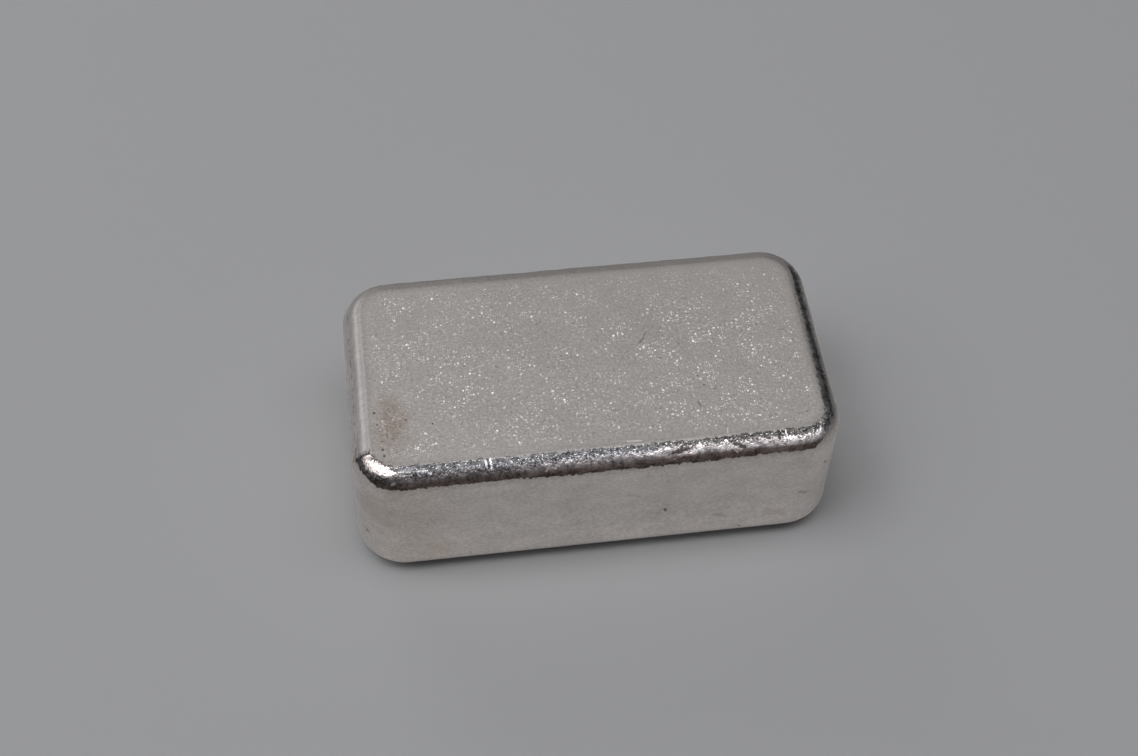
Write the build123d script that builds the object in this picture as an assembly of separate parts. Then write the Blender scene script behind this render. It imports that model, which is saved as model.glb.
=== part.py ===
from build123d import *
import os

# A small cast silver bar, one solid piece of stock.
# The origin is the centre of the face it rests on: +X is the length, +Y the width, +Z up.

# Sizes in millimetres. Length, width and corner radius are those of the mould's mouth, where
# the bar is largest, before its lower edge is rounded.
length = 52.25
width = 27.93
height = 17.45
corner_radius = 5.44     # the four upright corners
rim_radius = 2.22        # edge all round the top face, burnished where it is rubbed

# The bar stands on the face that set in the open mouth of the mould. There the metal's skin
# drew the lower edge in, in a shallow slope between two rounds.
slope_rise = 1.44
slope_reach = 2.89
foot_radius = 1.5        # where the sides turn under
base_radius = 7.5        # where the slope runs out into the flat base

# The sides lean inwards by this many degrees, so that the bar leaves its mould.
draft_angle = 1.7

# An edge this near a height counts as lying at it.
level_tolerance = 0.01


def cast_block():
    """The bar as the mould shapes it, with drafted sides and sharp upper and lower edges."""
    mouth_outline = RectangleRounded(length, width, corner_radius)
    return extrude(mouth_outline, amount=height, taper=draft_angle)


def rim_rounded(block):
    """The block with the edge of its top face rounded."""
    return fillet(block.edges().group_by(Axis.Z)[-1], radius=rim_radius)


def edges_at(shape, level):
    """The edges of the shape that lie flat at that height."""
    return [
        edge
        for edge in shape.edges()
        if abs(edge.bounding_box().min.Z - level) < level_tolerance
        and abs(edge.bounding_box().max.Z - level) < level_tolerance
    ]


def foot_rounded(block):
    """The block with its lower edge drawn in: a shallow slope, rounded into side and base."""
    base = block.faces().sort_by(Axis.Z)[0]
    sloped = chamfer(base.edges(), length=slope_reach, length2=slope_rise, reference=base)
    turned_under = fillet(edges_at(sloped, slope_rise), radius=foot_radius)
    return fillet(turned_under.edges().group_by(Axis.Z)[0], radius=base_radius)


def ends_alike(bar):
    """The bar with its right half mirrored to the left, so that all four corners are the same."""
    right_half = split(bar, bisect_by=Plane.YZ)
    return right_half + mirror(right_half, about=Plane.YZ)


os.makedirs("parts", exist_ok=True)
silver_bar = ends_alike(foot_rounded(rim_rounded(cast_block())))
export_step(silver_bar, "parts/silver_bar.step")
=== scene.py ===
"""A small cast silver bar: frosted top with painted glints, satin sides, a burnished and tarnished rim with
painted dark reflections and highlights.
"""

import math
from types import SimpleNamespace

import bpy
from mathutils import Matrix, Vector


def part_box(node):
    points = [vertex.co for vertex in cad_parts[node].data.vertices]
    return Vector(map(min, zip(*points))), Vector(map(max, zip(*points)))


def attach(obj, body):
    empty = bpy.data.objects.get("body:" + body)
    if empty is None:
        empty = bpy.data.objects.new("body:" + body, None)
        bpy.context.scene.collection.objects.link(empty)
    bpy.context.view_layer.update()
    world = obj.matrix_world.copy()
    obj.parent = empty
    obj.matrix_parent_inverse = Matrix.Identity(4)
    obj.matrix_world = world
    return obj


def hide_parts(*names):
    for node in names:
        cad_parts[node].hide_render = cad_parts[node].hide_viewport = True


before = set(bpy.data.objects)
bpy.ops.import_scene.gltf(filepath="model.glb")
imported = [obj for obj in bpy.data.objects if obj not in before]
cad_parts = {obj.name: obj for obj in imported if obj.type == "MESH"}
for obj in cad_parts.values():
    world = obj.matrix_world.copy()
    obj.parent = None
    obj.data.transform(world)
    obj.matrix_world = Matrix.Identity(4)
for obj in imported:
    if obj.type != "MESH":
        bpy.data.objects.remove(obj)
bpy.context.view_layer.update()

MM = 0.001
RIGHT_ANGLE = math.pi / 2

# The bar as it was cast, in metres: its outer size comes from the frame.
bar_low, bar_high = (Vector(corner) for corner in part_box("silver_bar"))
BAR_SIZE = bar_high - bar_low
HEIGHT = BAR_SIZE.z
CORNER_RADIUS = 5.44 * MM
RIM_RADIUS = 2.22 * MM
DRAFT = math.radians(1.7)

# The drawn-in lower edge: a shallow slope between two rounds.
SLOPE_RISE = 1.44 * MM
SLOPE_REACH = 2.89 * MM
SLOPE = math.atan2(SLOPE_RISE, SLOPE_REACH)
FOOT_RADIUS = 1.5 * MM
BASE_RADIUS = 7.5 * MM
FOOT_TURN = RIGHT_ANGLE + DRAFT - SLOPE
FOOT_TANGENT = FOOT_RADIUS * math.tan(FOOT_TURN / 2)

# The widest place lies above the foot, so the sharp outline of the mould's mouth is larger.
WIDEST_HEIGHT = SLOPE_RISE + FOOT_TANGENT * math.cos(DRAFT) - FOOT_RADIUS * math.sin(DRAFT)
MOUTH_GAIN = WIDEST_HEIGHT * math.tan(DRAFT) + FOOT_RADIUS * (1 / math.cos(DRAFT) - 1)
MOUTH_LENGTH = BAR_SIZE.x + 2 * MOUTH_GAIN
MOUTH_WIDTH = BAR_SIZE.y + 2 * MOUTH_GAIN
TOP_INSET = HEIGHT * math.tan(DRAFT)

# The rim's arc: how far its centre line lies inside the mouth's outline, and its height.
ARC_HEIGHT = HEIGHT - RIM_RADIUS
ARC_INSET = RIM_RADIUS / math.cos(DRAFT) + ARC_HEIGHT * math.tan(DRAFT)
ARC_LENGTH = MOUTH_LENGTH / 2 - ARC_INSET
ARC_WIDTH = MOUTH_WIDTH / 2 - ARC_INSET
ARC_CORNER = CORNER_RADIUS - ARC_INSET

# Heights over the arc's centre line and distances from a corner's centre count as at least
# this, so that every point has an angle and a direction.
LEAST_RISE = 0.001 * MM
LEAST_REACH = 0.01 * MM

# Mesh steps, and how near a point has to be to a height to lie at it.
OUTLINE_STEP = 0.16 * MM
WALL_STEP = 0.45 * MM
TOP_STEP = 0.42 * MM
BASE_STEP = 1.5 * MM
TOLERANCE = OUTLINE_STEP / 100

# A face counts as part of a flat if it lies within this share of a mesh step of its height and
# its normal points at least this much straight up or down.
FLAT_STEP_SHARE = 0.1
FLAT_NORMAL = 0.99


def deselect_all():
    bpy.ops.object.select_all(action="DESELECT")


def select_vertices(piece, wanted):
    """Selects in edit mode the vertices for which wanted(position) is true."""
    bpy.ops.mesh.select_mode(type="VERT")
    bpy.ops.mesh.select_all(action="DESELECT")
    bpy.ops.object.mode_set(mode="OBJECT")
    for vertex in piece.data.vertices:
        vertex.select = wanted(vertex.co)
    bpy.ops.object.mode_set(mode="EDIT")


def select_edges(piece, wanted):
    """Selects in edit mode the edges for which wanted(end, other_end) is true."""
    bpy.ops.mesh.select_mode(type="EDGE")
    bpy.ops.mesh.select_all(action="DESELECT")
    bpy.ops.object.mode_set(mode="OBJECT")
    points = [vertex.co for vertex in piece.data.vertices]
    for edge in piece.data.edges:
        edge.select = wanted(points[edge.vertices[0]], points[edge.vertices[1]])
    bpy.ops.object.mode_set(mode="EDIT")


def select_faces(piece, wanted):
    """Selects in edit mode the faces for which wanted(centre, normal) is true."""
    bpy.ops.mesh.select_mode(type="FACE")
    bpy.ops.mesh.select_all(action="DESELECT")
    bpy.ops.object.mode_set(mode="OBJECT")
    for face in piece.data.polygons:
        face.select = wanted(face.center, face.normal)
    bpy.ops.object.mode_set(mode="EDIT")


def mouth_outline():
    """The outline of the mould's mouth, as one face with its edges cut to the mesh step."""
    deselect_all()
    bpy.ops.mesh.primitive_plane_add(size=1, location=(0, 0, 0))
    piece = bpy.context.active_object
    bpy.ops.object.mode_set(mode="EDIT")
    bpy.ops.transform.resize(value=(MOUTH_LENGTH, MOUTH_WIDTH, 1))
    corner_cuts = round(CORNER_RADIUS * RIGHT_ANGLE / OUTLINE_STEP)
    bpy.ops.mesh.bevel(offset=CORNER_RADIUS, segments=corner_cuts, affect="VERTICES", profile=0.5)
    bpy.ops.mesh.delete(type="ONLY_FACE")
    for straight in (MOUTH_LENGTH - 2 * CORNER_RADIUS, MOUTH_WIDTH - 2 * CORNER_RADIUS):
        select_edges(piece, lambda a, b: abs((a - b).length - straight) < OUTLINE_STEP)
        bpy.ops.mesh.subdivide(number_cuts=round(straight / OUTLINE_STEP) - 1)
    bpy.ops.mesh.select_all(action="SELECT")
    bpy.ops.mesh.edge_face_add()
    return piece


def in_from_mouth(place):
    """How far inside the mouth's outline a point lies, seen from above."""
    along = max(abs(place.x) - MOUTH_LENGTH / 2 + CORNER_RADIUS, 0)
    over = max(abs(place.y) - MOUTH_WIDTH / 2 + CORNER_RADIUS, 0)
    return CORNER_RADIUS - math.hypot(along, over)


def round_edges(piece, level, radius, turn, step):
    """Rounds the ring of edges at that height, where the surface turns by that angle."""
    select_edges(piece, lambda a, b: abs(a.z - level) < TOLERANCE and abs(b.z - level) < TOLERANCE)
    bpy.ops.mesh.bevel(offset=radius * math.tan(turn / 2), segments=max(round(radius * turn / step), 2),
                       profile=0.5, clamp_overlap=False)


def draw_in_foot(piece):
    """Gives the lower edge its shallow slope and rounds it into the sides and the base."""
    select_faces(piece, lambda centre, normal: centre.z < OUTLINE_STEP)
    bpy.ops.mesh.inset(thickness=SLOPE_REACH, use_even_offset=True)
    select_vertices(piece, lambda place: place.z < OUTLINE_STEP and in_from_mouth(place) < SLOPE_REACH / 2)
    bpy.ops.transform.translate(value=(0, 0, SLOPE_RISE))
    lean = 2 * SLOPE_RISE * math.tan(DRAFT)
    bpy.ops.transform.resize(value=(1 - lean / MOUTH_LENGTH, 1 - lean / MOUTH_WIDTH, 1))
    round_edges(piece, SLOPE_RISE, FOOT_RADIUS, FOOT_TURN, WALL_STEP / 2)
    round_edges(piece, 0, BASE_RADIUS, SLOPE, WALL_STEP)


def grid_cuts(piece, height, step):
    """Cuts the flat face at that height into a grid, with the rest of the bar hidden."""
    near = step * FLAT_STEP_SHARE
    select_faces(piece, lambda centre, normal: abs(centre.z - height) < near and abs(normal.z) > FLAT_NORMAL)
    bpy.ops.mesh.hide(unselected=True)
    for axis, half in ((0, MOUTH_LENGTH / 2), (1, MOUTH_WIDTH / 2)):
        normal = Vector((axis == 0, axis == 1, 0))
        count = int(half / step)
        for line in range(-count, count + 1):
            bpy.ops.mesh.select_all(action="SELECT")
            bpy.ops.mesh.bisect(plane_co=normal * line * step, plane_no=normal)
    bpy.ops.mesh.reveal()


def cast_block():
    """The whole bar with its drafted sides, its rounded rim and its drawn-in foot."""
    piece = mouth_outline()
    bpy.ops.mesh.duplicate()
    bpy.ops.mesh.inset(thickness=TOP_INSET, use_boundary=True, use_even_offset=True)
    bpy.ops.transform.translate(value=(0, 0, HEIGHT))
    bpy.ops.mesh.select_all(action="SELECT")
    bpy.ops.mesh.remove_doubles(threshold=TOLERANCE)
    bpy.ops.mesh.normals_make_consistent(inside=False)
    round_edges(piece, HEIGHT, RIM_RADIUS, RIGHT_ANGLE - DRAFT, OUTLINE_STEP)
    draw_in_foot(piece)
    select_edges(piece, lambda a, b: abs(a.z - b.z) > HEIGHT / 2)
    bpy.ops.mesh.subdivide(number_cuts=round(ARC_HEIGHT / WALL_STEP))
    grid_cuts(piece, HEIGHT, TOP_STEP)
    grid_cuts(piece, 0, BASE_STEP)
    bpy.ops.object.mode_set(mode="OBJECT")
    return piece


def over_rim(place):
    """How far over the rim a point of the surface lies: 0 where the top's flat ends, less on it."""
    along = abs(place.x) - ARC_LENGTH + ARC_CORNER
    over = abs(place.y) - ARC_WIDTH + ARC_CORNER
    out = math.hypot(max(along, 0), max(over, 0)) + min(max(along, over), 0) - ARC_CORNER
    turned = math.atan2(max(out, 0), max(place.z - ARC_HEIGHT, LEAST_RISE))
    return min(out, 0) + RIM_RADIUS * turned + max(ARC_HEIGHT - place.z, 0)


def smooth(value, low, high):
    """0 below low, 1 above high and smooth between."""
    share = min(max((value - low) / (high - low), 0), 1)
    return share * share * (3 - 2 * share)


# What casting and hammering press in, as (greatest depth, size of the lumps, layers of noise).
CAST_WAVES = (0.10 * MM, 7 * MM, 2)
RIM_WAVES = (0.10 * MM, 1.6 * MM, 3)
RIM_PITS = (0.05 * MM, 0.45 * MM, 2)

# The foot stays smooth below this height.
SMOOTH_FOOT = 2 * SLOPE_RISE

# How far over the rim its hammering sets in and dies out, each as (start, end of the change).
HAMMERED_FROM = (0.1 * MM, 0.6 * MM)
HAMMERED_TO = (2.6 * MM, 3.2 * MM)

# No nick reaches below this height, and each has faded out at this share of its half width.
NICK_FLOOR = ARC_HEIGHT - 1 * MM
NICK_FADE_SHARE = 1.6

# Nicks and dents of the front rim, in millimetres: both ends as (along, over the rim), then
# half the width and the depth.
RIM_NICKS = (
    ((-12.0, 0.1), (-11.8, 1.2), 0.17, 0.06),
    ((-11.5, 0.1), (-11.6, 1.3), 0.17, 0.06),
    ((-5.7, 2.2), (-5.9, 1.9), 0.15, 0.05),
    ((-4.8, 2.0), (-5.0, 1.6), 0.18, 0.06),
    ((-4.4, 1.8), (-4.6, 1.4), 0.18, 0.06),
    ((6.6, 1.9), (8.8, 1.45), 0.45, 0.12),
    ((12.7, 1.1), (13.6, 2.4), 0.25, 0.09),
    ((13.4, 1.3), (14.6, 1.8), 0.40, 0.11),
    ((12.9, 0.0), (13.1, 0.9), 0.15, 0.05),
    ((18.8, 0.5), (19.1, 1.0), 0.15, 0.05),
)


def nick_depth(along, over, nick):
    """The depth of one nick at a place of the front, in millimetres."""
    start, end, half_width, depth = nick
    run = Vector(end) - Vector(start)
    offset = Vector((along, over)) - Vector(start)
    share = min(max(offset.dot(run) / run.length_squared, 0), 1)
    distance = (offset - run * share).length
    return depth * (1 - smooth(distance, 0, half_width * NICK_FADE_SHARE))


def press_in(piece, name, weight, depth, size=None, layers=0):
    """Presses the surface in by weight(position) times the depth, in cloudy lumps where a size is given."""
    group = piece.vertex_groups.new(name=name)
    for vertex in piece.data.vertices:
        share = weight(vertex.co)
        if share > 0:
            group.add([vertex.index], share, "REPLACE")
    press = piece.modifiers.new(name, "DISPLACE")
    press.vertex_group = name
    press.direction = "NORMAL"
    if size:
        clouds = bpy.data.textures.new(name, "CLOUDS")
        clouds.noise_scale = size
        clouds.noise_depth = layers
        press.texture = clouds
        press.texture_coords = "LOCAL"
        press.mid_level = 1.0
        press.strength = depth
    else:
        press.mid_level = 0.0
        press.strength = -depth
    bpy.context.view_layer.objects.active = piece
    bpy.ops.object.modifier_apply(modifier=press.name)
    piece.vertex_groups.clear()


def wear(piece):
    """The cast unevenness of top and sides, the hammered rim and its nicks."""
    def on_faces(place):
        return 0 if place.z < SMOOTH_FOOT else 1

    def on_rim(place):
        over = over_rim(place)
        return smooth(over, *HAMMERED_FROM) * (1 - smooth(over, *HAMMERED_TO)) if over > 0 else 0

    def on_nicks(place):
        if place.y > 0 or place.z < NICK_FLOOR:
            return 0
        return sum(nick_depth(place.x / MM, over_rim(place) / MM, nick) for nick in RIM_NICKS)

    press_in(piece, "cast_waves", on_faces, *CAST_WAVES)
    press_in(piece, "rim_waves", on_rim, *RIM_WAVES)
    press_in(piece, "rim_pits", on_rim, *RIM_PITS)
    press_in(piece, "rim_nicks", on_nicks, 1 * MM)


def silver_bar():
    """The bar as it was cast and then worn."""
    piece = cast_block()
    piece.name = "cast_silver_bar"
    piece.data.name = "cast_silver_bar"
    wear(piece)
    bpy.ops.object.shade_smooth()
    return piece


class Signal:
    """One output of a material being made; sums and products of it add Math nodes."""

    def __init__(self, tree, socket=None):
        self.tree = tree
        self.socket = socket

    def node(self, kind, settings, sockets, output=0):
        """Adds a node, sets its settings and then its sockets, and gives one of its outputs."""
        made = self.tree.nodes.new(kind)
        for name, value in settings.items():
            if name == "stops":
                set_stops(made.color_ramp, value)
            else:
                setattr(made, name, value)
        for name, value in sockets.items():
            if isinstance(value, Signal):
                self.tree.links.new(value.socket, made.inputs[name])
            else:
                made.inputs[name].default_value = value
        return Signal(self.tree, made.outputs[output])

    def beside(self, name):
        """Another output of the node that this one comes from."""
        return Signal(self.tree, self.socket.node.outputs[name])

    def maths(self, operation, *values):
        return self.node("ShaderNodeMath", {"operation": operation}, dict(enumerate(values)))

    def __add__(self, other):
        return self.maths("ADD", self, other)

    __radd__ = __add__

    def __sub__(self, other):
        return self.maths("SUBTRACT", self, other)

    def __rsub__(self, other):
        return self.maths("SUBTRACT", other, self)

    def __mul__(self, other):
        return self.maths("MULTIPLY", self, other)

    __rmul__ = __mul__

    def __abs__(self):
        return self.maths("ABSOLUTE", self)


def set_stops(ramp, stops):
    """Gives a colour ramp its stops, as (position, colour)."""
    while len(ramp.elements) < len(stops):
        ramp.elements.new(1.0)
    for element, (position, colour) in zip(ramp.elements, stops):
        element.position = position
        element.color = (*colour, 1)


def rises(value, low, high):
    """0 below low, 1 above high and smooth between; the other way round where low is the larger."""
    return value.node("ShaderNodeMapRange", {"interpolation_type": "SMOOTHSTEP"},
                      {"Value": value, "From Min": low, "From Max": high})


def swing(pattern, amount):
    """A pattern between 0 and 1 made to swing about zero, by half the amount either way."""
    return (pattern - 0.5) * amount


def solid(colour):
    """A written colour with its alpha; a signal as it is."""
    return (*colour, 1) if isinstance(colour, tuple) else colour


def mixed(share, first, second):
    """The first colour, going over to the second as the share goes from 0 to 1."""
    return share.node("ShaderNodeMix", {"data_type": "RGBA"},
                      {0: share, 6: solid(first), 7: solid(second)}, 2)


def shaded(colour, level):
    """The colour made darker or lighter by a level about 1."""
    grey = level.node("ShaderNodeCombineColor", {}, {0: level, 1: level, 2: level})
    return level.node("ShaderNodeMix", {"data_type": "RGBA", "blend_type": "MULTIPLY"},
                      {0: 1.0, 6: solid(colour), 7: grey}, 2)


# How many finer layers a noise has.
FINE = 3.0
SOFT = 2.0


def noise(place, size, layers):
    """Noise about 0.5, with features of that size in millimetres."""
    return place.node("ShaderNodeTexNoise", {}, {"Vector": place, "Scale": 1 / size, "Detail": layers})


def stretched(place, along, over, up):
    """The place with its three axes multiplied, so that a pattern on it is stretched."""
    return place.node("ShaderNodeVectorMath", {"operation": "MULTIPLY"}, {0: place, 1: (along, over, up)})


# Marks fade out between these shares of their radius or half width, and a painted glint from this
#  share of its radius outwards.
MARK_CORE_SHARE = 0.6
MARK_END_SHARE = 1.3
GLINT_CORE_SHARE = 0.45


def within(distance, radius):
    """1 nearer than about the radius and 0 farther away, with a soft edge."""
    return rises(distance, radius * MARK_END_SHARE, radius * MARK_CORE_SHARE)


def distance_on_top(on, x, y, narrowness=1.0):
    """How far a point of the top is from a place; a narrowness below 1 counts X for more."""
    away_x = (on.x - x) * (1 / narrowness)
    away_y = on.y - y
    return on.x.maths("SQRT", away_x * away_x + away_y * away_y)


def stroke(across_it, up_it, start, end, half_width, rag):
    """1 along a line between two places of a face and 0 beside it, in that face's two directions."""
    run_x = end[0] - start[0]
    run_y = end[1] - start[1]
    length_squared = run_x * run_x + run_y * run_y
    away_x = across_it - start[0]
    away_y = up_it - start[1]
    along_it = away_x * (run_x / length_squared) + away_y * (run_y / length_squared)
    share = along_it.node("ShaderNodeClamp", {}, {"Value": along_it})
    left_x = away_x - share * run_x
    left_y = away_y - share * run_y
    return within(share.maths("SQRT", left_x * left_x + left_y * left_y) + rag, half_width)


def glint_dots(place, cell, radius, sparseness):
    """Small painted glints, one in each cell, few of them bright; sizes in millimetres."""
    spread = place.node("ShaderNodeTexVoronoi", {"voronoi_dimensions": "2D"},
                        {"Vector": place, "Scale": 1 / cell})
    chance = spread.node("ShaderNodeSeparateColor", {}, {0: spread.beside("Color")})
    core = radius / cell * GLINT_CORE_SHARE
    return rises(spread, radius / cell, core) * chance.maths("POWER", chance, sparseness)


# The ramps across the rim reach this many millimetres over it.
RAMP_END = 4.0

# Tints on the rim: cool and brown for tarnish, pink for the painted highlights.
GREY = (1.00, 0.96, 0.94)
COOL = (0.95, 0.94, 1.00)
PINK = (1.00, 0.90, 0.91)
BROWN = (1.00, 0.78, 0.70)

# How bright the rim's stretches are, as (millimetres over the rim, level, tint). On the burnished
#  stretches the low levels are painted dark reflection as well as tarnish, and the high pink levels
#  are painted highlights.
# The left rim's pale line at about 0.8 mm over the rim is a painted highlight.
LEFT_RIM = ((0.0, 0.42, GREY), (0.4, 0.36, GREY), (0.8, 0.47, GREY), (1.1, 0.36, GREY), (1.5, 0.35, GREY),
            (2.1, 0.58, GREY), (2.4, 0.65, GREY))
DARK_REFLECTION_AND_TARNISH_RIM = ((0.6, 0.09, COOL), (1.1, 0.11, COOL), (1.5, 0.18, PINK), (1.8, 0.26, PINK), (2.2, 0.20, BROWN),
            (2.8, 0.14, BROWN))
MIDDLE_RIM = ((0.5, 0.07, COOL), (0.9, 0.10, COOL), (1.2, 0.36, COOL), (1.5, 0.65, PINK), (1.8, 0.55, PINK),
              (2.3, 0.28, BROWN), (2.8, 0.14, BROWN))
HIGHLIGHTED_RIM = ((0.5, 0.05, GREY), (0.9, 0.13, GREY), (1.2, 0.90, PINK), (1.5, 1.00, PINK), (1.8, 0.80, PINK),
              (2.1, 0.28, BROWN), (2.8, 0.14, BROWN))
CORNER_RIM = ((0.3, 0.09, GREY), (1.4, 0.11, GREY), (1.8, 0.14, GREY), (2.2, 0.09, BROWN), (2.8, 0.11, BROWN))
RIGHT_RIM = ((0.3, 0.22, GREY), (0.6, 0.23, GREY), (0.9, 0.15, GREY), (1.2, 0.07, GREY), (1.5, 0.27, GREY),
             (1.8, 0.34, GREY))


def across(over, stretch):
    """The colour at a place over the rim, from a stretch's levels and tints."""
    stops = [(at / RAMP_END, [level * part for part in tint]) for at, level, tint in stretch]
    return over.node("ShaderNodeValToRGB", {"stops": stops}, {0: over * (1 / RAMP_END)})


# Colours of the silver.
FROSTED = (0.352, 0.332, 0.318)
# Painted glint colour of the top's crystal grains.
GLINT = (0.98, 0.98, 0.96)
SATIN = (0.855, 0.796, 0.753)
WARM_SATIN = (0.82, 0.735, 0.665)
# Painted highlight of the rim's left-front corner.
CORNER_HIGHLIGHT = (0.56, 0.49, 0.47)
# Painted glints: the colour of the small bright flecks on the burnished rim.
GLINT_FLECK = (0.85, 0.82, 0.84)

# Colours of what lies on it.
STAIN = (0.280, 0.236, 0.208)
CRUMBS = (0.17, 0.125, 0.105)
SPECK = (0.10, 0.07, 0.06)
DARK_LINE = (0.17, 0.14, 0.12)
RUST = (0.34, 0.20, 0.12)

# Colours that several strokes share.
# Painted shade of a small dent in the top.
DENT_SHADE = (0.17, 0.16, 0.155)
PALE_SCRATCH = (0.80, 0.77, 0.74)
FAINT_SCRATCH = (0.75, 0.72, 0.71)
# Painted highlights on the edges of the rim's nicks and dents.
CUT_HIGHLIGHT = (0.90, 0.85, 0.84)
DENT_HIGHLIGHT = (0.92, 0.88, 0.88)
WALL_DENT = (0.20, 0.18, 0.17)

# Brown-black specks of the top as (x, y, radius) in millimetres.
TOP_SPECKS = ((-22.9, -4.6, 0.16), (-22.7, -6.1, 0.12), (-22.3, -8.2, 0.10), (-22.3, -9.2, 0.17),
              (-19.7, -5.85, 0.12), (-22.2, -10.0, 0.16), (-17.0, -6.6, 0.12), (11.2, -3.7, 0.09),
              (11.65, -5.0, 0.11), (20.3, -3.6, 0.09))

# Strokes as (start, end, half width, colour, strength): over the top, then across the front
# rim as (along, over the rim), then on the front wall as (along, height).
TOP_STROKES = (
    # The first two strokes are the painted shade of a small dent.
    ((6.62, 2.55), (6.27, 1.85), 0.09, DENT_SHADE, 0.6),
    ((6.27, 1.85), (5.75, 1.20), 0.13, DENT_SHADE, 0.7),
    ((6.08, 0.60), (6.10, 0.52), 0.12, (0.90, 0.88, 0.85), 0.8),
    ((10.7, -7.0), (10.8, -7.6), 0.08, (0.16, 0.13, 0.12), 0.8),
    ((2.5, -11.05), (4.0, -11.15), 0.06, PALE_SCRATCH, 0.6),
    ((-11.3, -5.1), (-10.0, -5.0), 0.08, (0.24, 0.225, 0.21), 0.6),
    ((13.0, -11.2), (13.1, -10.6), 0.05, PALE_SCRATCH, 0.5),
)
# On the rim, the bright strokes over the nicks and dents are painted highlights.
RIM_STROKES = (
    ((-12.15, 0.1), (-12.0, 1.2), 0.10, (0.60, 0.60, 0.62), 0.8),
    ((-11.85, 0.3), (-11.80, 1.2), 0.07, (0.06, 0.06, 0.07), 0.8),
    ((-11.6, 0.1), (-11.55, 1.2), 0.10, (0.66, 0.66, 0.68), 0.9),
    ((-6.05, 2.25), (-5.85, 1.9), 0.11, CUT_HIGHLIGHT, 0.9),
    ((-5.10, 2.0), (-4.90, 1.65), 0.11, CUT_HIGHLIGHT, 0.9),
    ((-4.72, 1.75), (-4.52, 1.35), 0.11, CUT_HIGHLIGHT, 0.9),
    ((-0.75, 1.50), (-0.45, 1.40), 0.12, DENT_HIGHLIGHT, 0.9),
    ((1.00, 1.50), (1.25, 1.42), 0.12, DENT_HIGHLIGHT, 0.9),
    ((3.20, 1.50), (3.60, 1.40), 0.14, (0.92, 0.86, 0.86), 0.9),
    ((7.2, 1.55), (8.8, 1.30), 0.24, (0.16, 0.125, 0.12), 0.9),
    ((13.6, 1.1), (14.6, 1.75), 0.26, (0.15, 0.12, 0.115), 0.9),
    ((12.7, 0.85), (13.8, 2.1), 0.15, (0.90, 0.83, 0.82), 0.95),
    ((19.0, 0.2), (19.15, 1.0), 0.07, CUT_HIGHLIGHT, 0.8),
    ((-21.7, 2.1), (-21.4, 1.9), 0.10, (0.70, 0.68, 0.66), 0.8),
    ((-20.9, 0.75), (-18.4, 0.85), 0.07, FAINT_SCRATCH, 0.35),
    ((-20.9, 1.15), (-19.6, 1.20), 0.06, FAINT_SCRATCH, 0.30),
)
WALL_STROKES = (
    ((6.75, 7.5), (6.85, 7.1), 0.14, WALL_DENT, 0.9),
    ((21.4, 8.1), (22.2, 7.5), 0.22, (0.46, 0.43, 0.41), 0.6),
    ((12.4, 5.3), (13.6, 4.7), 0.25, (0.56, 0.53, 0.51), 0.5),
    ((2.6, 10.9), (3.8, 10.5), 0.25, (0.58, 0.55, 0.53), 0.45),
    ((23.8, 12.0), (24.0, 11.6), 0.14, (0.36, 0.29, 0.25), 0.8),
    ((-24.95, 6.0), (-24.85, 5.8), 0.13, WALL_DENT, 0.8),
    ((15.2, 2.7), (15.4, 2.5), 0.10, (0.50, 0.30, 0.25), 0.7),
    ((-14.25, 2.9), (-14.15, 2.7), 0.10, (0.62, 0.42, 0.28), 0.7),
    ((18.0, 5.1), (19.9, 4.1), 0.50, (0.70, 0.60, 0.56), 0.5),
    ((-23.6, 12.0), (-23.4, 10.5), 1.80, (0.58, 0.50, 0.44), 0.4),
    ((-17.9, 4.0), (-16.9, 3.4), 0.75, (0.80, 0.68, 0.57), 0.5),
)

# The rusty tick on the left side beside the front corner: both ends as (y, height), and half
# its width.
RUST_TICK = ((-9.3, 15.9), (-8.9, 16.5), 0.13)

# How rough the finishes are, and how high the bumps of their patterns are in millimetres.
FROSTED_ROUGHNESS = 0.62
SATIN_ROUGHNESS = 0.36
BURNISHED_ROUGHNESS = 0.32
GRAIN_RELIEF = 0.022
SATIN_RELIEF = 0.012
PITS_RELIEF = 0.014
HAMMERED_RELIEF = 0.03


def bar_places(tree):
    """A point of the bar in millimetres, how far over the rim it is, and which way its rim faces."""
    start = Signal(tree)
    metres = start.node("ShaderNodeTexCoord", {}, {}, "Object")
    place = metres.node("ShaderNodeVectorMath", {"operation": "SCALE"}, {0: metres, "Scale": 1 / MM})
    x, y, z = (place.node("ShaderNodeSeparateXYZ", {}, {0: place}, axis) for axis in range(3))
    along = abs(x) - (ARC_LENGTH - ARC_CORNER) / MM
    over = abs(y) - (ARC_WIDTH - ARC_CORNER) / MM
    out_x = x.maths("MAXIMUM", along, 0)
    out_y = x.maths("MAXIMUM", over, 0)
    reach = x.maths("SQRT", out_x * out_x + out_y * out_y)
    inner = x.maths("MINIMUM", x.maths("MAXIMUM", along, over), 0)
    out = reach + inner - ARC_CORNER / MM
    height = z - ARC_HEIGHT / MM
    turned = x.maths("ARCTAN2", x.maths("MAXIMUM", out, 0), x.maths("MAXIMUM", height, LEAST_RISE / MM))
    rim = x.maths("MINIMUM", out, 0) + turned * (RIM_RADIUS / MM) - x.maths("MINIMUM", height, 0)
    least_reach = x.maths("MAXIMUM", reach, LEAST_REACH / MM)
    right = x.maths("DIVIDE", out_x * x.maths("SIGN", x), least_reach)
    back = x.maths("DIVIDE", out_y * x.maths("SIGN", y), least_reach)
    return SimpleNamespace(place=place, x=x, y=y, z=z, rim=rim, right=right, back=back)


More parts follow.
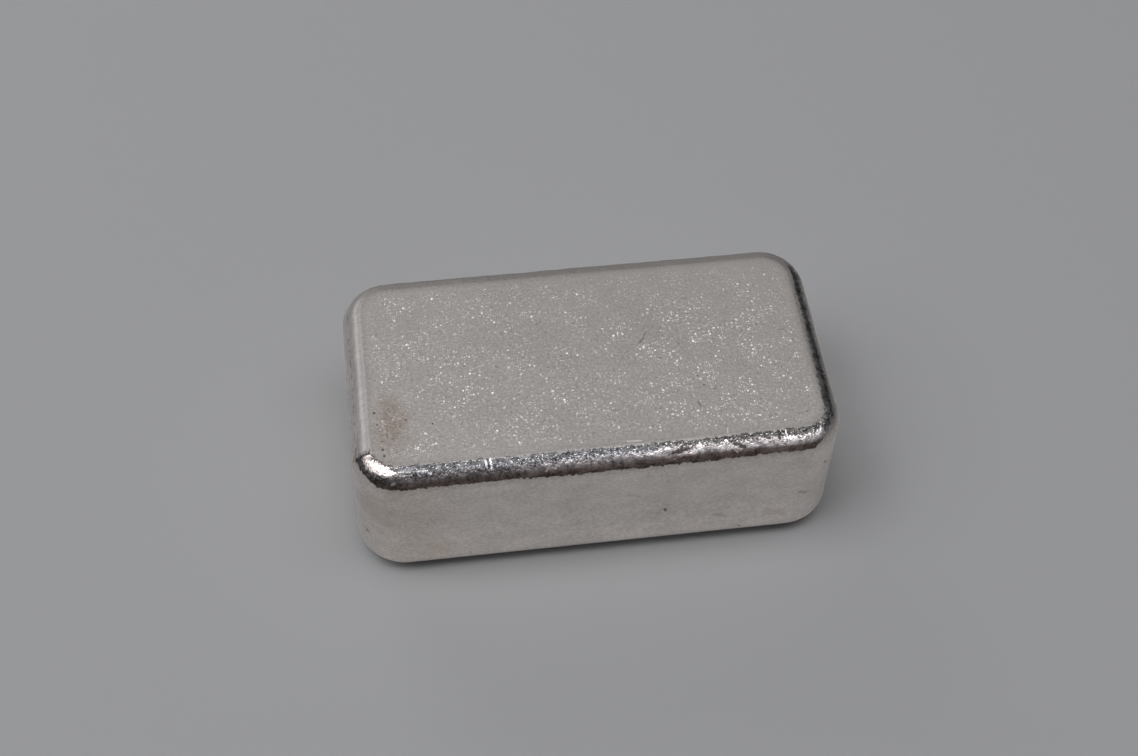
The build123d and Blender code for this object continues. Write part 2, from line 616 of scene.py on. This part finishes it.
def add_patterns(on):
    """Adds to a point's places the patterns and regions that several finishes share."""
    on.grain = noise(on.place, 0.30, FINE)
    on.satin_grain = noise(stretched(on.place, 0.9, 0.9, 1.15), 0.33, FINE)
    on.pits = rises(noise(on.place, 0.22, FINE), 0.34, 0.66)
    on.hammered = rises(noise(on.place, 0.75, FINE), 0.34, 0.66)
    on.wander = swing(noise(on.place, 2.6, SOFT), 0.7)
    on.rough_edge = swing(noise(on.place, 0.40, FINE), 0.75)
    on.side = rises(on.rim, 1.6, 2.8)
    on.at_front = rises(on.back, -0.2, -0.5)


def painted_glints(on, lively):
    """Painted glints of crystal grains, of three sizes, that gather in drifts."""
    tiny = glint_dots(stretched(on.place, 1.0, 1.25, 1.0), 0.24, 0.10, 5.0) * 0.8
    small = glint_dots(on.place, 0.52, 0.13, 7.0) * 1.1
    large = glint_dots(on.place, 1.05, 0.17, 8.0) * 1.2
    drifts = rises(noise(on.place, 2.4, FINE), 0.38, 0.62)
    bright = (tiny + small + large) * (0.25 + drifts * 0.9) * lively
    return bright.maths("MINIMUM", bright, 1.0)


def frosted_top(on):
    """The frosted top: fine grain, painted glints of crystal grains, pits, a brown stain with specks,
    scratches, painted shade of a dent, a painted sheen towards the back and painted shade by the rim.
    """
    at_back_right = rises(on.y, 2.0, 12.0) * (0.15 + rises(on.x, -8.0, 8.0) * 0.40)
    sharp = 1 - at_back_right
    lively = (0.78 + rises(on.x, 0.0, 14.0) * 0.27) * sharp * rises(on.rim, -0.2, -1.3)

    grain = swing(on.grain, sharp * 0.75)
    clouds = swing(noise(on.place, 5.0, FINE), 0.10)
    lighter_right = rises(on.x, -5.0, 22.0) * 0.05
    # Painted light on the top: a sheen towards the back, and shade just inside the rim.
    painted_sheen_to_back = rises(on.y, 2.0, 11.0) * 0.02
    painted_shade_by_rim = rises(on.rim, -0.6, 0.2) * 0.12
    darker_pits = rises(noise(on.place, 0.36, SOFT), 0.38, 0.28) * lively * 0.30
    level = 1.0 - painted_shade_by_rim + grain + clouds + lighter_right + painted_sheen_to_back - darker_pits

    to_stain = distance_on_top(on, -21.2, -6.4, 0.50) + swing(noise(on.place, 1.8, SOFT), 3.0)
    blotches = rises(noise(on.place, 1.3, FINE), 0.36, 0.60)
    stain = rises(to_stain, 5.6, 1.5) * (0.40 + blotches * 0.60)
    frosted = mixed(stain * 0.9, shaded(FROSTED, level), shaded(STAIN, level))
    crumbs = rises(noise(on.place, 0.28, SOFT), 0.56, 0.66) * rises(to_stain, 4.2, 0.8)
    frosted = mixed(crumbs * 0.75, frosted, CRUMBS)
    # Painted glints: bright dots of crystal grains in the base colour.
    frosted = mixed(painted_glints(on, lively) * (1 - stain * 0.7), frosted, GLINT)
    for x, y, radius in TOP_SPECKS:
        frosted = mixed(within(distance_on_top(on, x, y), radius) * 0.85, frosted, SPECK)
    rag = swing(on.grain, 0.12)
    for start, end, half_width, tint, strength in TOP_STROKES:
        frosted = mixed(stroke(on.x, on.y, start, end, half_width, rag) * strength, frosted, tint)
    return frosted


def satin_sides(on):
    """The satin sides: browner at the left, lighter low down as a painted reflection of the floor, darker
    just under the rim, with marks.
    """
    not_left = rises(on.right, -0.8, -0.3)
    smears = noise(stretched(on.place, 0.6, 0.6, 1.0), 1.5, FINE)
    mottled = (swing(on.satin_grain, 0.62) + swing(smears, 0.30)
               + swing(noise(on.place, 4.5, FINE), 0.22))
    # Painted reflection of the floor: the sides are lighter low down.
    painted_floor_reflection = rises(on.z, 9.0, 2.5) * 0.09
    lighter_right = rises(on.right, 0.1, 0.6) * 0.07
    darker_by_rim = rises(on.rim, 3.9, 2.8) * not_left * 0.14
    darker_left = (1 - not_left) * 0.06
    level = 0.93 + mottled + painted_floor_reflection - darker_by_rim + lighter_right - darker_left

    warm = rises(on.x, -13.0, -21.0) * not_left * 0.8
    satin = mixed(warm, shaded(SATIN, level), shaded(WARM_SATIN, level))
    for start, end, half_width, tint, strength in WALL_STROKES:
        smear = stroke(on.x, on.z, start, end, half_width, swing(smears, half_width * 1.6))
        satin = mixed(smear * on.at_front * strength, satin, tint)
    return satin


def on_left_rim(on):
    """1 on the left rim, which was never burnished, and 0 off it."""
    to_rear = rises(on.back, 0.0, 0.3)
    at_left = rises(on.right, to_rear * 0.30 - 0.90, -0.97)
    return at_left * rises(on.rim, 0.0, 0.3) * rises(on.rim, 2.7, 2.2)


def left_rim(on):
    """The left rim: a pale line that is a painted highlight, then grey with a broken dark line."""
    rim = shaded(across(on.rim + on.wander * 0.4, LEFT_RIM), 1.0 + swing(on.grain, 0.4))
    from_line = on.rim - 1.9 + on.wander * 0.5
    unbroken = rises(noise(stretched(on.place, 1.0, 0.5, 1.0), 0.5, FINE), 0.46, 0.60)
    return mixed(rises(abs(from_line), 0.20, 0.06) * unbroken * 0.65, rim, DARK_LINE)


def on_burnished_rim(on):
    """1 on the burnished band of the front and right rim, between its ragged borders, and 0 off it."""
    from_left = rises(on.x, -10.0, -6.0) * on.at_front
    middle = from_left * rises(on.x, 15.0, 11.0)
    at_right = rises(on.right, 0.5, 0.9)
    upper = (0.10 - rises(on.right, -0.1, -0.6) * 0.04
             + from_left * (0.14 - rises(on.x, 8.0, 15.0) * 0.08)
             + at_right * (0.20 + rises(on.y, -8.0, 4.0) * 0.30))
    lower = (2.78 + middle * 0.16
             - rises(on.right, 0.2, 0.8) * (0.95 + rises(on.y, 2.0, -6.0) * 0.15)
             - rises(on.right, -0.5, -0.95) * 0.55)
    over = on.rim + on.wander * 0.6 + on.rough_edge
    between = rises(over - upper, -0.08, 0.16) * rises(over - lower, 0.05, -0.05)
    at_left = rises(on.right + swing(on.pits, 0.02), -0.975, -0.990)
    at_rear = rises(on.back, 0.1, 0.7) + rises(on.back, 0.0, 0.1) * rises(on.right, 0.0, -0.5)
    return between * (1 - at_left) * rises(at_rear, 1.0, 0.0)


def burnished_rim(on):
    """The burnished metal: tarnish and painted dark reflection from stretch to stretch, with a painted
    highlight at the corner, painted glints as flecks, and painted highlights on nicks and dents.
    """
    over = on.rim + on.wander * 0.35 + on.rough_edge * 0.5 + swing(on.pits, 0.20)
    turning = on.right + on.wander * 0.3
    stretches = (
        (on.x + on.wander * 4, -11.0, -5.0, MIDDLE_RIM),
        (on.x + on.wander * 6, 3.0, 7.5, HIGHLIGHTED_RIM),
        (turning, -0.22, -0.40, CORNER_RIM),
        (turning, 0.60, 0.68, RIGHT_RIM),
    )
    rim = across(over, DARK_REFLECTION_AND_TARNISH_RIM)
    for along, starts, whole, stretch in stretches:
        rim = mixed(rises(along, starts, whole), rim, across(over, stretch))
    rim = shaded(rim, 0.30 + on.pits * 0.65 + on.hammered * 0.75)

    # The bright patch at the left-front corner is a painted highlight.
    corner_highlight_reach = rises(on.right, -0.02, -0.45) * 0.58
    corner_highlight = rises(corner_highlight_reach - abs(over - 0.90), 0.0, 0.10)
    corner_highlight = corner_highlight * rises(on.right + on.wander * 0.05, -0.965, -0.93)
    corner_highlight_level = 0.80 + rises(on.rim, 0.3, 0.9) * 0.20 + swing(on.pits, 0.5)
    rim = mixed(corner_highlight, rim, shaded(CORNER_HIGHLIGHT, corner_highlight_level))

    # Painted glints: small bright flecks on the burnished rim.
    glint_flecks = rises(noise(stretched(on.place, 0.9, 1.4, 1.4), 0.24, SOFT), 0.60, 0.68)
    glint_flecks = glint_flecks * rises(on.rim, 2.8, 0.9) * 0.5 * (0.3 + on.at_front * 0.7)
    rim = mixed(glint_flecks, rim, GLINT_FLECK)
    for start, end, half_width, tint, strength in RIM_STROKES:
        rim_mark = stroke(on.x, on.rim, start, end, half_width, swing(on.pits, half_width * 0.9))
        rim = mixed(rim_mark * on.at_front * strength, rim, tint)
    return rim


def rust_tick(on):
    """1 on the rusty tick of the left side, and 0 off it."""
    return stroke(on.y, on.z, *RUST_TICK, swing(on.grain, 0.1)) * rises(on.x, 0.0, -1.0)


def silver():
    """Frosted and satin silver, burnished along the front and right rim and tarnished there, with painted
    dark reflections, highlights and glints.
    """
    material = bpy.data.materials.new("silver")
    material.use_nodes = True
    tree = material.node_tree
    shader = tree.nodes["Principled BSDF"]
    on = bar_places(tree)
    add_patterns(on)
    band = on_burnished_rim(on)
    colour = mixed(on.side, frosted_top(on), satin_sides(on))
    colour = mixed(on_left_rim(on), colour, left_rim(on))
    colour = mixed(band, colour, burnished_rim(on))
    colour = mixed(rust_tick(on) * 0.7, colour, RUST)

    roughness = (FROSTED_ROUGHNESS - on.side * (FROSTED_ROUGHNESS - SATIN_ROUGHNESS)
                 - band * (1 - on.side) * (FROSTED_ROUGHNESS - BURNISHED_ROUGHNESS))
    height = (on.grain * (1 - band) * GRAIN_RELIEF + on.satin_grain * on.side * SATIN_RELIEF
              + (on.pits * PITS_RELIEF + on.hammered * HAMMERED_RELIEF) * band)
    bump = height.node("ShaderNodeBump", {}, {"Height": height, "Distance": MM, "Strength": 1.0})

    shader.inputs["Metallic"].default_value = 1.0
    tree.links.new(colour.socket, shader.inputs["Base Color"])
    tree.links.new(roughness.socket, shader.inputs["Roughness"])
    tree.links.new(bump.socket, shader.inputs["Normal"])
    return material


# The photograph's camera, about a point on the bar's upright axis, and how near and far it sees.
CAMERA_AZIMUTH = math.radians(-9.62)
CAMERA_ELEVATION = math.radians(54.56)
CAMERA_ROLL = math.radians(-2.5)
CAMERA_DISTANCE = 175.92 * MM
AIM_HEIGHT = 9.096 * MM
AIM_RIGHT = -1.769 * MM
AIM_UP = 2.571 * MM
LENS = 50.40
SENSOR = 36.0
NEAR_LIMIT = 1 * MM
FAR_LIMIT = 20.0


def make_camera():
    """The camera of the photograph, looking down on the bar's long side."""
    back = Vector((math.sin(CAMERA_AZIMUTH) * math.cos(CAMERA_ELEVATION),
                   -math.cos(CAMERA_AZIMUTH) * math.cos(CAMERA_ELEVATION),
                   math.sin(CAMERA_ELEVATION)))
    level = Vector((math.cos(CAMERA_AZIMUTH), math.sin(CAMERA_AZIMUTH), 0))
    upright = back.cross(level)
    right = level * math.cos(CAMERA_ROLL) - upright * math.sin(CAMERA_ROLL)
    up = level * math.sin(CAMERA_ROLL) + upright * math.cos(CAMERA_ROLL)
    place = Vector((0, 0, AIM_HEIGHT)) + back * CAMERA_DISTANCE + right * AIM_RIGHT + up * AIM_UP
    data = bpy.data.cameras.new("camera")
    data.lens = LENS
    data.sensor_width = SENSOR
    data.clip_start = NEAR_LIMIT
    data.clip_end = FAR_LIMIT
    camera = bpy.data.objects.new("camera", data)
    bpy.context.scene.collection.objects.link(camera)
    camera.matrix_world = Matrix.Translation(place) @ Matrix((right, up, back)).transposed().to_4x4()
    bpy.context.scene.camera = camera


FLOOR_SIZE = 6
FLOOR_GREY = (0.286, 0.288, 0.296)
FLOOR_ROUGHNESS = 0.9


def floor_paper():
    """The floor's plain matt grey."""
    material = bpy.data.materials.new("floor_paper")
    material.use_nodes = True
    shader = material.node_tree.nodes["Principled BSDF"]
    shader.inputs["Base Color"].default_value = (*FLOOR_GREY, 1)
    shader.inputs["Roughness"].default_value = FLOOR_ROUGHNESS
    return material


def make_floor():
    """A plain pale floor, level with the face that the bar rests on."""
    deselect_all()
    bpy.ops.mesh.primitive_plane_add(size=FLOOR_SIZE, location=(0, 0, 0))
    floor = bpy.context.active_object
    floor.name = "studio_floor"
    floor.data.materials.append(floor_paper())


# Soft square lamps as (name, azimuth, elevation, size in metres, watts). Azimuth 0 is the side
# that the bar's front faces. All are this far from the bar.
LAMP_DISTANCE = 1.2
LAMPS = (
    ("left", -90, 70, 0.60, 4.3),
    ("left_low", -83, 50, 0.78, 4.7),
    ("overhead", 0, 85, 0.60, 3.2),
    ("right", 80, 66, 0.60, 2.9),
    ("front", 12, 53, 0.60, 0.45),
    ("back_low", -160, 25, 0.60, 2.1),
)

# The world's grey, and its strength for rays that a matt surface scatters.
WORLD_GREY = (0.175, 0.175, 0.181)
SCATTERED_STRENGTH = 0.35


def soft_lamp(name, azimuth, elevation, size, power):
    """A square soft lamp that faces the bar from that direction."""
    data = bpy.data.lights.new(name, "AREA")
    data.shape = "SQUARE"
    data.size = size
    data.energy = power
    lamp = bpy.data.objects.new(name, data)
    bpy.context.scene.collection.objects.link(lamp)
    a, e = math.radians(azimuth), math.radians(elevation)
    away = Vector((math.sin(a) * math.cos(e), -math.cos(a) * math.cos(e), math.sin(e)))
    lamp.location = away * LAMP_DISTANCE
    lamp.rotation_euler = away.to_track_quat("Z", "Y").to_euler()


def make_world():
    """An even grey all round: full for what the camera, metal or glass sees, dim for the rest."""
    world = bpy.data.worlds.new("studio")
    bpy.context.scene.world = world
    world.use_nodes = True
    tree = world.node_tree
    sky = tree.nodes["Background"]
    sky.inputs["Color"].default_value = (*WORLD_GREY, 1)
    rays = Signal(tree).node("ShaderNodeLightPath", {}, {})
    seen = sum(rays.beside(name) for name in ("Is Camera Ray", "Is Glossy Ray", "Is Transmission Ray"))
    strength = SCATTERED_STRENGTH + seen * (1 - SCATTERED_STRENGTH)
    tree.links.new(strength.socket, sky.inputs["Strength"])


make_camera()
make_floor()
bar = silver_bar()
bar.data.materials.append(silver())
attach(bar, "root")
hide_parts("silver_bar")
make_world()
for lamp in LAMPS:
    soft_lamp(*lamp)

bpy.context.scene.view_settings.view_transform = "Standard"
bpy.context.view_layer.update()
